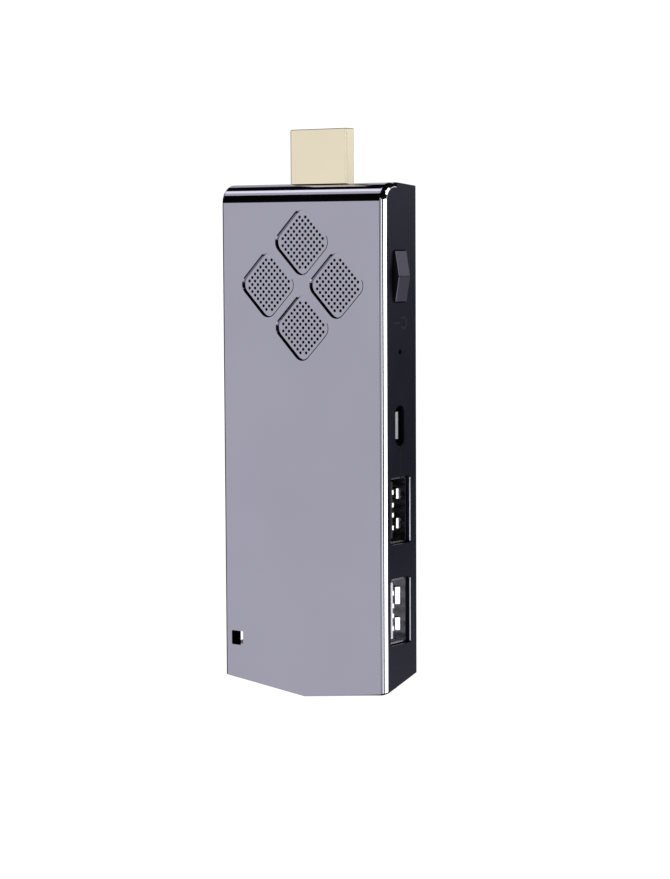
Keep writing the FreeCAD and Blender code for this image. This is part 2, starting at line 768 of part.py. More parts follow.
def main_board():
    """Circuit board with cut-outs for the sunk USB ports and holes for its screws."""
    body = new_body("main_board")
    edge = dim("board_edge")
    front = dim("board_front")
    shape = new_sketch(body, "board_outline", "XZ_Plane", -depth(front))
    span = dim("usb_cut_length") / 2 + 0.3
    inner = HALF_WIDTH - dim("usb_length") - 1.1
    corners = [(-edge, -dim("board_top")), (-edge, as_size(-88.0)), (as_size(-12.6), as_size(-88.0)),
               (as_size(-12.6), -dim("board_bottom")), (edge, -dim("board_bottom"))]
    for port in (1, 0):
        centre = -dim("usb_first") - dim("usb_pitch") * port
        corners += [(edge, centre - span), (inner, centre - span),
                    (inner, centre + span), (edge, centre + span)]
    corners += [(edge, -dim("board_top"))]
    outline(shape, corners)
    pad(body, "board_plate", shape, dim("board_thick"), backwards=True)
    doc.recompute()
    holes = new_sketch(body, "board_holes", "XZ_Plane", -depth(front))
    for across, height in BOSSES:
        circle(holes, (as_size(across), as_size(height)), dim("screw_radius") + 0.15)
    pocket(body, "board_screw_holes", holes, 3.0)
    finish(body, "main_board")


def board_screws():
    """Pan-head screws that hold the board to the bosses."""
    front = depth(dim("board_front"))
    top = front - SCREW_HEAD_THICK
    screws = []
    for number, (across, height) in enumerate(BOSSES):
        shank = rod(f"screw_shank_{number}", (across, front, height), "Y", dim("screw_radius"), 3.0)
        head = rod(f"screw_head_{number}", (across, top, height), "Y", SCREW_HEAD, SCREW_HEAD_THICK)
        slots = [box(f"screw_slot_{number}_{turn}", (across - wide, top - 0.1, height - tall),
                     (across + wide, top + 0.4, height + tall))
                 for turn, (wide, tall) in enumerate(((SLOT_REACH, SLOT_HALF), (SLOT_HALF, SLOT_REACH)))]
        solid = fuse(f"screw_blank_{number}", [shank, head])
        screws.append(cut(f"screw_{number}", solid, slots))
    finish(group("board_screws", screws), "board_screws")


def on_front(name, stand=0.0, radius=0.15):
    """Return a chip that stands on the board's front side, or on what already stands there."""
    left, right, low, high, thickness = LAYOUT[name]
    face = dim("board_front") - stand
    return chip(name, (left, depth(face - thickness), low), (right, depth(face), high), radius)


def on_back(name):
    """Return a chip that stands on the board's back side."""
    left, right, low, high, thickness = LAYOUT[name]
    face = dim("board_front") + dim("board_thick")
    return chip(name, (left, depth(face), low), (right, depth(face + thickness), high))


def processor_stack():
    """Processor, thermal pad and finned heat sink, one on top of the other."""
    chip_top = LAYOUT["soc_chip"][-1]
    finish(on_front("soc_chip"), "soc_chip")
    finish(on_front("thermal_pad", stand=chip_top), "thermal_pad")
    left, right, low, high, thickness = LAYOUT["sink_plate"]
    under = dim("board_front") - chip_top - LAYOUT["thermal_pad"][-1]
    over = under - thickness
    pieces = [box("sink_plate", (left, depth(over), low), (right, depth(under), high))]
    for number in range(FIN_COUNT):
        start = left + number * FIN_PITCH
        pieces.append(box(f"sink_fin_{number}", (start, depth(over - FIN_HEIGHT), low),
                          (start + FIN_WIDTH, depth(over), high)))
    finish(fuse("heat_sink", pieces), "heat_sink")


def board_chips():
    """Memory, storage, power, hub, clock and filter parts."""
    finish(group("memory_chips", [on_back("memory_0"), on_back("memory_1")]), "memory_chips")
    for name in ("flash_chip", "power_chip", "usb_hub_chip"):
        finish(on_front(name), name)
    coils = [on_front(name, radius=0.6) for name in ("inductor_0", "inductor_1")]
    finish(group("power_inductors", coils), "power_inductors")
    clocks = [on_front("clock_soc"), on_front("clock_wifi")]
    finish(group("clock_crystals", clocks), "clock_crystals")
    wide, thick, tall = CAPACITOR_SIZE
    left, low = CAPACITOR_START
    face = dim("board_front")
    caps = [box(f"capacitor_{number}", (left + number * CAPACITOR_PITCH, depth(face - thick), low),
                (left + number * CAPACITOR_PITCH + wide, depth(face), low + tall))
            for number in range(CAPACITORS)]
    finish(group("filter_capacitors", caps), "filter_capacitors")


def radio():
    """Wireless module with its can, and the folded metal antenna beside it."""
    finish(on_front("wifi_module"), "wifi_module")
    can = on_front("wifi_can", stand=LAYOUT["wifi_module"][-1], radius=0.6)
    finish(can, "wifi_can")
    face = dim("board_front")
    near, far, low, high, sheet_thick = -17.2, -13.4, -87.4, -77.5, 0.3
    side = near + sheet_thick
    top = face - 4.0
    arm = box("antenna_arm", (near, depth(top), low), (side, depth(face - 1.0), high))
    foot = box("antenna_foot", (near, depth(face - 1.2), high - 1.5), (side, depth(face), high))
    feed = box("antenna_feed", (near, depth(face - 1.2), high - 4.5), (side, depth(face), high - 3.9))
    roof = box("antenna_top", (near, depth(top), low), (far, depth(top + sheet_thick), high))
    finish(fuse("wifi_antenna", [arm, foot, feed, roof]), "wifi_antenna")


# ---- Ports ---------------------------------------------------------------------------------


def usb_port(number, centre):
    """Full-size USB socket: folded shell with spring windows, insulator with tongue, contacts."""
    name = f"usb_{number}"
    mouth = HALF_WIDTH - dim("usb_sunk")
    rear = mouth - dim("usb_length")
    inner_back = dim("usb_inner_back")
    inner_front = inner_back - dim("usb_inner_height")
    half = dim("usb_inner_length") / 2
    skin = dim("usb_sheet")
    body = new_body(f"{name}_shell")
    ring = new_sketch(body, f"{name}_ring", "YZ_Plane", rear)
    soft_rectangle(ring, (depth(inner_front - skin), centre - half - skin),
                   (depth(inner_back + skin), centre + half + skin), 0.6)
    soft_rectangle(ring, (depth(inner_front), centre - half), (depth(inner_back), centre + half), 0.15)
    pad(body, f"{name}_tube", ring, dim("usb_length"))
    windows = new_sketch(body, f"{name}_windows", "XZ_Plane", -depth(inner_back + skin * 2))
    for side in (-1, 1):
        middle = centre + side * 2.95
        soft_rectangle(windows, (mouth - 8.0, middle - 1.2), (mouth - 2.2, middle + 1.2), 0.3)
    pocket(body, f"{name}_spring_windows", windows, skin * 3, backwards=True)
    finish(body, f"{name}_shell")
    block = box(f"{name}_block", (rear + 0.1, depth(inner_front + 0.05), centre - half + 0.05),
                (rear + 3.6, depth(inner_back - 0.05), centre + half - 0.05))
    tongue = box(f"{name}_tongue", (rear + 3.0, depth(3.15), centre - 5.6),
                 (mouth - dim("usb_tongue_sunk"), depth(4.75), centre + 5.6))
    finish(fuse(f"{name}_insulator", [block, tongue]), f"{name}_insulator")
    contacts = []
    for index, across in enumerate((-3.5, -1.0, 1.0, 3.5)):
        low = (rear + 3.6, depth(4.75), centre + across - 0.5)
        high = (mouth - dim("usb_tongue_sunk") + 0.15, depth(5.0), centre + across + 0.5)
        contacts.append(box(f"{name}_contact_{index}", low, high))
    finish(group(f"{name}_contacts", contacts), f"{name}_contacts")


def micro_usb_port():
    """Micro USB power inlet: shell, tongue and five contacts."""
    centre = -dim("micro_drop")
    middle = depth(dim("port_depth"))
    mouth = HALF_WIDTH - 0.6
    rear = mouth - 5.0
    body = new_body("micro_usb_shell")
    ring = new_sketch(body, "micro_ring", "YZ_Plane", rear)
    soft_rectangle(ring, (middle - 1.3, centre - 3.75), (middle + 1.3, centre + 3.75), 0.9)
    soft_rectangle(ring, (middle - 1.05, centre - 3.5), (middle + 1.05, centre + 3.5), 0.65)
    pad(body, "micro_tube", ring, 5.0)
    finish(body, "micro_usb_shell")
    block = box("micro_block", (rear + 0.1, middle - 1.0, centre - 3.0),
                (rear + 1.4, middle + 1.0, centre + 3.0))
    tongue = box("micro_tongue_bar", (rear + 1.0, middle - 0.55, centre - 2.65),
                 (mouth - 0.1, middle + 0.35, centre + 2.65))
    finish(fuse("micro_usb_tongue", [block, tongue]), "micro_usb_tongue")
    contacts = [box(f"micro_contact_{index}", (rear + 1.4, middle + 0.35, centre + across - 0.2),
                    (mouth - 0.3, middle + 0.5, centre + across + 0.2))
                for index, across in enumerate((-1.3, -0.65, 0.0, 0.65, 1.3))]
    finish(group("micro_usb_contacts", contacts), "micro_usb_contacts")


# ---- Button, switch and indicator ----------------------------------------------------------


def power_button():
    """Roof-shaped button with a flange that stops it inside the wall, and a push stem."""
    body = new_body("power_button")
    middle = depth(dim("port_depth"))
    centre = -dim("button_drop")
    half = dim("button_length") / 2
    inside = HALF_WIDTH - dim("wall") - 0.1
    side = new_sketch(body, "button_outline", "XZ_Plane", -middle)
    end = HALF_WIDTH + dim("button_end")
    outline(side, [
        (inside, centre - half), (end, centre - half), (end + dim("button_ridge"), centre),
        (end, centre + half), (inside, centre + half),
    ])
    pad(body, "button_cap", side, dim("button_width"), symmetric=True)
    flange = new_sketch(body, "button_flange_outline", "YZ_Plane", inside - 0.7)
    soft_rectangle(flange, (middle - dim("button_width") / 2 - 0.7, centre - half - 0.9),
                   (middle + dim("button_width") / 2 - 0.2, centre + half + 0.9), 0.4)
    pad(body, "button_flange", flange, 0.7)
    stem = new_sketch(body, "button_stem_outline", "YZ_Plane", inside - 1.4)
    soft_rectangle(stem, (middle - 0.9, centre - 1.3), (middle + 0.9, centre + 1.3), 0.3)
    pad(body, "button_stem", stem, 0.8)
    doc.recompute()
    soften_button(body, end.value)
    finish(body, "power_button")


def soften_button(body, end):
    """Round the outer edges of the button's two sloping faces."""
    names = []
    for number, edge in enumerate(body.Tip.Shape.Edges, 1):
        centre = edge.BoundBox.Center
        along_ridge = edge.BoundBox.YLength > 1.0
        if centre.x > end - 0.05 and not along_ridge:
            names.append(f"Edge{number}")
    dress(body, "Fillet", "button_soft_edges", names, dim("button_round"))


def switch():
    """Side-push tact switch: base, snap dome, cover plate and plunger."""
    middle = depth(dim("port_depth"))
    centre = -dim("button_drop")
    face = HALF_WIDTH - dim("wall") - 1.5
    back = face - 2.9
    blank = box("switch_block", (back, middle - 1.6, centre - 3.0),
                (face - 0.9, depth(dim("board_front")), centre + 3.0))
    well = rod("switch_well", (back + 0.9, middle, centre), "X", 1.35, 2.0)
    finish(cut("switch_base", blank, [well]), "switch_base")
    dome = 0.15
    finish(rod("switch_dome", (back + 0.9, middle, centre), "X", 1.3, dome), "switch_dome")
    plate = box("switch_plate", (face - 0.9, middle - 1.6, centre - 3.0),
                (face - 0.7, middle + 1.75, centre + 3.0))
    window = box("switch_window", (face - 1.0, middle - 0.95, centre - 1.15),
                 (face - 0.6, middle + 0.95, centre + 1.15))
    finish(cut("switch_cover", plate, [window]), "switch_cover")
    nose = box("plunger_nose", (face - 1.25, middle - 0.8, centre - 1.0),
               (face, middle + 0.8, centre + 1.0))
    clear = dim("button_travel") + 0.05
    foot = rod("plunger_foot", (back + 0.9 + dome + clear, middle, centre), "X", 1.15, 0.4)
    finish(fuse("switch_plunger", [nose, foot]), "switch_plunger")


def indicator():
    """Status LED on the board and the light pipe that fills the small side hole."""
    middle = depth(dim("port_depth")) + 0.1
    centre = -dim("pinhole_drop")
    wall_inside = HALF_WIDTH - dim("wall")
    thin = rod("pipe_tip", (wall_inside - 0.3, middle, centre), "X", dim("pinhole_radius") - 0.03, 1.1)
    wide = rod("pipe_bar", (wall_inside - 2.6, middle, centre), "X", 0.9, 2.4)
    finish(fuse("light_pipe", [thin, wide]), "light_pipe")
    finish(on_front("status_led", radius=0.1), "status_led")


# ---- Build, check and export ---------------------------------------------------------------


def fill_sheet():
    """Write the driving dimensions as plain numbers, one alias each."""
    for row, (name, value) in enumerate(DIMENSIONS.items(), 1):
        sheet.set(f"A{row}", name)
        sheet.set(f"B{row}", str(value))
        sheet.setAlias(f"B{row}", name)
    doc.recompute()


def check_document():
    """Stop when any object has failed or any sub-part is empty or broken."""
    for item in doc.Objects:
        if "Invalid" in item.State or "Error" in item.State:
            raise RuntimeError(f"{item.Label} failed: {item.State}")
    for item in finished:
        if item.Shape.isNull() or not item.Shape.isValid():
            raise RuntimeError(f"{item.Label} has no valid shape")


def export():
    """Write one STEP file for each sub-part."""
    os.makedirs("parts", exist_ok=True)
    for item in finished:
        item.Shape.exportStep(f"parts/{item.Label}.step")
        print(item.Label, len(item.Shape.Solids), round(item.Shape.Volume, 2))


fill_sheet()
front_cover()
rear_shell()
cover_tape()
vent_mesh()
hdmi_plug()
main_board()
board_screws()
processor_stack()
board_chips()
radio()
for port_number in (1, 2):
    usb_port(port_number, -dim("usb_first") - dim("usb_pitch") * (port_number - 1))
micro_usb_port()
power_button()
switch()
indicator()
doc.recompute()
check_document()
export()
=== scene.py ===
"""Looks for the HDMI streaming stick: materials, small detail pieces, studio and camera.

Metres, in the CAD model's own frame: +Z up the plug, the vented front faces -Y, ports face +X.
"""
import json
import math

import bmesh
import bpy
from mathutils import Matrix, Vector

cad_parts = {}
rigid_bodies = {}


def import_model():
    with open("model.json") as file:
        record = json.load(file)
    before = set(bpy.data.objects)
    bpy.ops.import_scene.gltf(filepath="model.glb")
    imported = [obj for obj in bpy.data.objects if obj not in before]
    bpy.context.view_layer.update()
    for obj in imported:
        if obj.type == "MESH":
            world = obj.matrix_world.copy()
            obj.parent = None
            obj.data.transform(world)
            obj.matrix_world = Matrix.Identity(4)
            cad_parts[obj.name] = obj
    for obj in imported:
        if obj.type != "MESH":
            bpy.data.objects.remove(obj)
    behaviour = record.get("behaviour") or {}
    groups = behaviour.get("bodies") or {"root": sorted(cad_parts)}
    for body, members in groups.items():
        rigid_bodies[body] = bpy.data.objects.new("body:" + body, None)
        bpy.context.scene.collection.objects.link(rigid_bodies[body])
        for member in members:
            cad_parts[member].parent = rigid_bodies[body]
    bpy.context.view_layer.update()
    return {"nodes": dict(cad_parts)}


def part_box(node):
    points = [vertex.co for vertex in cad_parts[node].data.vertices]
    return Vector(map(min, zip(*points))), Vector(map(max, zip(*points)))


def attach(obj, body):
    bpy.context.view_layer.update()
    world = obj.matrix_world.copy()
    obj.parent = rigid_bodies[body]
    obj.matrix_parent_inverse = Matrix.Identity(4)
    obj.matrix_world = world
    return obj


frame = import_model()
nodes = frame["nodes"]
MM = 0.001

SHELL_LOW, SHELL_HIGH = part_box("rear_shell")
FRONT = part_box("front_cover")[0].y
RIGHT = SHELL_HIGH.x
FOOT = SHELL_LOW.z
STICK_MIDDLE = Vector((0, 0, -0.045))

# The cover's colour ends, and its bare bevel starts, between these two places in X.
BARE_FROM, BARE_FULL = RIGHT - 0.75 * MM, RIGHT - 0.45 * MM
BUTTON_CAP_HALF = 1.6 * MM
MESH_PITCH = 0.28 * MM
GRAIN_DEPTH = 0.02 * MM
BARE_METAL = (0.93, 0.93, 0.96, 1)
# Painted shade: near-black laid on the button's sides in its slot, where the slot's shade falls.
PAINTED_SLOT_SHADE = (0.004, 0.004, 0.005, 1)

# Sprung fingers in the USB shells' back walls. Per port: how far in they bend, how long they and
# their turned-up tips are, and where each stands across the port, all in millimetres. A tip leans
# 35 degrees towards the mouth from straight back.
SPRINGS = {
    1: {"inward": 0.72, "reach": 5.9, "turn": 0.40, "spans": ((-3.95, -1.95), (1.95, 3.95))},
    2: {"inward": 1.05, "reach": 5.8, "turn": 0.95, "spans": ((-4.3, -1.8), (0.9, 4.3))},
}
SPRING_ROOT = 7.6 * MM
SPRING_WALL = 0.15 * MM
SPRING_THICKNESS = 0.2 * MM
SPRING_STEPS = 14
TIP_OUT, TIP_BACK = 0.574, 0.819

# Folded front ends of the USB contacts: two (x, y) points from the contacts' outer front corner.
# Their places across the port and their half width are in millimetres.
NOSE_FOLD = ((-0.10 * MM, -0.26 * MM), (0.07 * MM, -0.02 * MM))
NOSE_PLACES = (-3.5, -1.0, 1.0, 3.5)
NOSE_HALF = 0.42
NOSE_THICKNESS = 0.06 * MM

# Thin strip at the back edge of each USB opening: two (x, y) points from the case's front right edge.
LIP_EDGES = ((-0.14 * MM, 8.60 * MM), (-0.02 * MM, 8.775 * MM))
LIP_HALF = 6.3 * MM
LIP_THICKNESS = 0.04 * MM

# Printed marks on the right wall: how far they stand out and go in, then their places.
PRINT_RAISED = 0.012 * MM
PRINT_SUNK = 0.01 * MM
STROKE = 0.2 * MM
RING_CENTRE = (FRONT + 6.57 * MM, -27.3 * MM)
RING_RADIUS = 1.05 * MM
RING_GAP = math.radians(38)
RING_STEPS = 48
BAR_ENDS = (FRONT + 2.9 * MM, FRONT + 5.3 * MM)
RULE_EDGES = (FRONT + 5.44 * MM, FRONT + 5.56 * MM)
RULE_ENDS = (-57.4 * MM, -51.8 * MM)

# Stage, in metres.
DOME_RADIUS = 4.0
FLOOR_RADIUS = 3.9
FLOOR_DROP = 0.6
STAGE_GLOW = 1.06
AIR_COLOUR = (0.9, 0.9, 1.0, 1)
AIR_GLOW = 0.004

# Long softboxes to the left: name, lowest and highest angle above the horizon, radiance.
STRIP_DISTANCE = 3.0
STRIP_LENGTH = 0.64 * STRIP_DISTANCE
STRIP_LEFT = -0.73 * STRIP_DISTANCE
STRIPS = (
    ("front", -19.0, 5.0, 0.85),
    ("shoulder_low", 49.0, 82.0, 0.85),
    ("shoulder_high", 65.0, 83.0, 0.9),
)

# Softboxes round the stick: name, azimuth, elevation, width, height, radiance.
PANEL_DISTANCE = 2.0
PANELS = (
    ("front_soft", -3, -4, 0.7, 1.6, 0.85),
    ("edge_strip", 20, -4, 0.5, 1.0, 2.1),
    ("right_key", 69, -4, 1.05, 1.0, 2.4),
    ("key_high", 100, 30, 1.1, 1.3, 1.6),
    ("port_light", 100, 2, 0.6, 0.8, 14.0),
    ("right_back", 144, 19, 1.4, 1.3, 0.95),
    ("back_fill", 205, 20, 0.9, 0.9, 0.6),
    ("left_fill", -100, 5, 0.6, 1.0, 0.3),
    ("low_right", 45, -33, 3.0, 1.3, 0.8),
    ("low_left", -60, -33, 2.6, 1.3, 0.8),
    ("low_back", 172, -30, 4.2, 1.3, 0.8),
    ("back_left", 235, 25, 1.2, 1.3, 0.6),
)

# The camera's yaw, pitch and roll are in degrees, its lens and sensor in millimetres.
CAMERA_PLACE = (283.72 * MM, -376.14 * MM + FRONT, -9.6 * MM)
CAMERA_TURNS = (36.239, -4.989, -0.298)
CAMERA_LENS = 97.23
CAMERA_SENSOR = 36.0
CAMERA_NEAR = 0.01


# ---- Node helpers --------------------------------------------------------------------------


class Nodes:
    """A small builder for one material's node tree."""

    def __init__(self, name):
        self.material = bpy.data.materials.new(name)
        self.material.use_nodes = True
        self.tree = self.material.node_tree
        self.shader = self.tree.nodes["Principled BSDF"]
        self.place = self.add("ShaderNodeNewGeometry").outputs["Position"]

    def add(self, kind, **values):
        """Add a node; keyword values set its properties."""
        node = self.tree.nodes.new(kind)
        for key, value in values.items():
            setattr(node, key, value)
        return node

    def feed(self, socket, value):
        """Link a socket to an output, or set it to a value."""
        if isinstance(value, bpy.types.NodeSocket):
            self.tree.links.new(value, socket)
        else:
            socket.default_value = value

    def math(self, operation, first, second=0.0):
        """Return the output of one Math node."""
        node = self.add("ShaderNodeMath", operation=operation)
        for socket, value in zip(node.inputs, (first, second)):
            self.feed(socket, value)
        return node.outputs[0]

    def split(self, vector):
        """Return a vector's three parts."""
        node = self.add("ShaderNodeSeparateXYZ")
        self.feed(node.inputs[0], vector)
        return node.outputs

    def scaled(self, x, y, z):
        """Return the position stretched along each axis, for streaky textures."""
        node = self.add("ShaderNodeVectorMath", operation="MULTIPLY")
        self.feed(node.inputs[0], self.place)
        node.inputs[1].default_value = (x, y, z)
        return node.outputs[0]

    def noise(self, scale, detail, vector=None):
        """Return a noise value between 0 and 1."""
        node = self.add("ShaderNodeTexNoise")
        self.feed(node.inputs["Vector"], self.place if vector is None else vector)
        node.inputs["Scale"].default_value = scale
        node.inputs["Detail"].default_value = detail
        return node.outputs["Fac"]

    def remap(self, value, low, high, out_low, out_high, smooth=False):
        """Return a value moved from one range to another, held at both ends."""
        node = self.add("ShaderNodeMapRange")
        node.interpolation_type = "SMOOTHSTEP" if smooth else "LINEAR"
        self.feed(node.inputs["Value"], value)
        for name, number in zip(("From Min", "From Max", "To Min", "To Max"),
                                (low, high, out_low, out_high)):
            node.inputs[name].default_value = number
        return node.outputs["Result"]

    def mix(self, factor, first, second):
        """Return a colour between two colours."""
        node = self.add("ShaderNodeMix", data_type="RGBA")
        colours = [socket for socket in node.inputs if socket.type == "RGBA"]
        for socket, value in zip([node.inputs[0], *colours], (factor, first, second)):
            self.feed(socket, value)
        return next(socket for socket in node.outputs if socket.type == "RGBA")

    def bump(self, height, strength, distance):
        """Send a height to the shader's normal."""
        node = self.add("ShaderNodeBump")
        node.inputs["Strength"].default_value = strength
        node.inputs["Distance"].default_value = distance
        self.feed(node.inputs["Height"], height)
        self.feed(self.shader.inputs["Normal"], node.outputs["Normal"])

    def set(self, **values):
        """Set or link the shader's inputs by name, with underscores for spaces."""
        for key, value in values.items():
            self.feed(self.shader.inputs[key.replace("_", " ")], value)


def rgb(red, green, blue):
    """Return a linear colour from sRGB parts between 0 and 255."""
    parts = []
    for part in (red, green, blue):
        part = part / 255
        parts.append(part / 12.92 if part <= 0.04045 else ((part + 0.055) / 1.055) ** 2.4)
    return (*parts, 1.0)


def dress(material, *names):
    """Give CAD nodes a material."""
    for name in names:
        data = nodes[name].data
        data.materials.clear()
        data.materials.append(material)


# ---- Materials -----------------------------------------------------------------------------


def cover_material():
    """Anodised lavender metal with a bare, polished bevel over the ports."""
    n = Nodes("cover_metal")
    x = n.split(n.place)[0]
    bare = n.remap(x, BARE_FROM, BARE_FULL, 0.0, 1.0, smooth=True)
    cloud = n.remap(n.noise(38.0, 3.0), 0.3, 0.7, 0.0, 1.0)
    tone = n.mix(cloud, (0.400, 0.390, 0.474, 1), (0.420, 0.410, 0.497, 1))
    tone = n.mix(bare, tone, BARE_METAL)
    grain = n.noise(9000.0, 2.0)
    smudge = n.remap(n.noise(55.0, 5.0), 0.35, 0.75, 0.04, 0.07)
    rough = n.math("ADD", smudge, n.math("MULTIPLY", grain, 0.02))
    n.set(Base_Color=tone, Metallic=1.0, Roughness=rough)
    n.bump(grain, 0.006, GRAIN_DEPTH)
    return n.material


def plastic(name, dark, light, roughness, grain=5200.0, strength=0.25):
    """Moulded plastic: fine spark-eroded grain with slow changes of tone and gloss."""
    n = Nodes(name)
    slow = n.remap(n.noise(60.0, 4.0), 0.3, 0.7, 0.0, 1.0)
    fine = n.noise(grain, 3.0)
    n.set(Base_Color=n.mix(slow, dark, light),
          Roughness=n.math("ADD", n.remap(slow, 0.0, 1.0, roughness - 0.04, roughness + 0.04),
                           n.math("MULTIPLY", fine, 0.06)))
    n.bump(fine, strength, GRAIN_DEPTH)
    return n


def shell_material():
    """Satin black shell with a cool sheen."""
    n = plastic("shell_plastic", rgb(12, 12, 22), rgb(17, 17, 29), 0.28)
    n.set(Specular_Tint=(0.52, 0.50, 0.95, 1.0), Specular_IOR_Level=0.5)
    return n.material


def button_material():
    """Satin grey button with light and shade painted into its colour: a painted highlight along the front
    edge, painted shade on the lower facet and in a dark line along the ridge, and painted near-black
    shade on the sides that run in the slot and on the part sunk below the wall.
    """
    n = plastic("button_plastic", rgb(78, 76, 92), rgb(84, 82, 98), 0.4)
    low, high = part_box("power_button")
    middle = (low + high) / 2
    x, y, z = n.split(n.place)
    facing = n.split(n.add("ShaderNodeNewGeometry").outputs["Normal"])[0]
    # Painted shade: the sides that face across the slot, and the part sunk below the wall, are laid
    # near-black.
    side = n.remap(n.math("ABSOLUTE", facing), 0.15, 0.35, 1.0, 0.0)
    sunk_shade = n.remap(x, RIGHT - 0.2 * MM, RIGHT, 1.0, 0.0)
    above = n.math("SUBTRACT", z, middle.z)
    # Painted shade: a dark band along the ridge between the two facets, partly a small groove, drawn in
    # the colour.
    ridge_shade = n.remap(n.math("ABSOLUTE", above), 0.10 * MM, 0.18 * MM, 1.0, 0.0)
    cap_front = middle.y - BUTTON_CAP_HALF
    # Painted highlight: a pale band along the cap's front edge.
    edge = n.remap(y, cap_front, cap_front + 0.25 * MM, 1.0, 0.0, smooth=True)
    # Painted shade: the lower facet is darker than the upper one, for how the light falls on it.
    below = n.remap(above, -0.1 * MM, 0.1 * MM, 1.0, 0.0)
    tone = n.mix(below, rgb(84, 82, 98), rgb(62, 60, 74))
    tone = n.mix(edge, tone, rgb(190, 188, 205))
    tone = n.mix(n.math("MULTIPLY", ridge_shade, 0.8), tone, rgb(18, 18, 24))
    tone = n.mix(n.math("MAXIMUM", side, sunk_shade), tone, PAINTED_SLOT_SHADE)
    n.set(Base_Color=tone, Specular_Tint=(0.8, 0.78, 1.0, 1.0))
    return n.material


def gold_material():
    """Pale gold plating with faint drawn lines and soft handling marks."""
    n = Nodes("gold_plating")
    streak = n.noise(900.0, 3.0, n.scaled(6.0, 6.0, 0.2))
    slow = n.noise(120.0, 3.0)
    shade = n.remap(slow, 0.3, 0.7, 0.0, 1.0)
    tone = n.mix(shade, (0.895, 0.80, 0.61, 1), (0.925, 0.835, 0.645, 1))
    corner = n.remap(n.math("ABSOLUTE", n.split(n.place)[0]), 6.62 * MM, 6.75 * MM, 0.04, 0.14)
    rough = n.math("ADD", corner, n.math("MULTIPLY", n.math("ADD", streak, slow), 0.02))
    n.set(Base_Color=tone, Metallic=1.0, Roughness=rough)
    n.bump(streak, 0.01, 0.01 * MM)
    return n.material


def metal(name, dark, light, roughness, stretch=(1.0, 1.0, 1.0)):
    """Plated or rolled sheet metal with faint drawing lines."""
    n = Nodes(name)
    streak = n.noise(700.0, 4.0, n.scaled(*stretch))
    n.set(Base_Color=n.mix(n.remap(streak, 0.3, 0.7, 0.0, 1.0), dark, light), Metallic=1.0,
          Roughness=n.remap(streak, 0.2, 0.8, roughness - 0.05, roughness + 0.07))
    n.bump(streak, 0.08, GRAIN_DEPTH)
    return n.material


def mesh_material():
    """Fine woven black dust mesh."""
    n = Nodes("dust_mesh")
    place = n.split(n.place)
    waves = 2 * math.pi / MESH_PITCH
    warp = n.math("SINE", n.math("MULTIPLY", place["X"], waves))
    weft = n.math("SINE", n.math("MULTIPLY", place["Z"], waves))
    thread = n.math("MAXIMUM", warp, weft)
    n.set(Base_Color=n.mix(n.remap(thread, -1.0, 1.0, 0.0, 1.0), rgb(1, 1, 1), rgb(7, 7, 8)),
          Roughness=n.remap(thread, -1.0, 1.0, 0.95, 0.7))
    n.bump(thread, 0.5, 0.05 * MM)
    return n.material


def board_material():
    """Solder mask with copper runs under it and bare pads here and there."""
    n = Nodes("circuit_board")
    grid = n.add("ShaderNodeTexVoronoi", feature="F1", distance="MANHATTAN")
    n.feed(grid.inputs["Vector"], n.place)
    grid.inputs["Scale"].default_value = 420.0
    lines = n.add("ShaderNodeTexBrick")
    n.feed(lines.inputs["Vector"], n.scaled(1.0, 0.0, 1.0))
    lines.inputs["Scale"].default_value = 500.0
    lines.inputs["Mortar Size"].default_value = 0.03
    runs = lines.outputs["Fac"]
    base = n.mix(runs, rgb(8, 46, 30), rgb(22, 82, 52))
    pads = n.remap(grid.outputs["Distance"], 0.10, 0.14, 1.0, 0.0)
    n.set(Base_Color=n.mix(n.math("MULTIPLY", pads, 0.7), base, rgb(196, 176, 120)), Roughness=0.32)
    n.bump(runs, 0.3, 0.03 * MM)
    return n.material


def pipe_material():
    """Smoked plastic light pipe."""
    n = plastic("light_pipe_plastic", rgb(6, 6, 8), rgb(12, 12, 16), 0.2, strength=0.05)
    n.set(Coat_Weight=0.4)
    return n.material


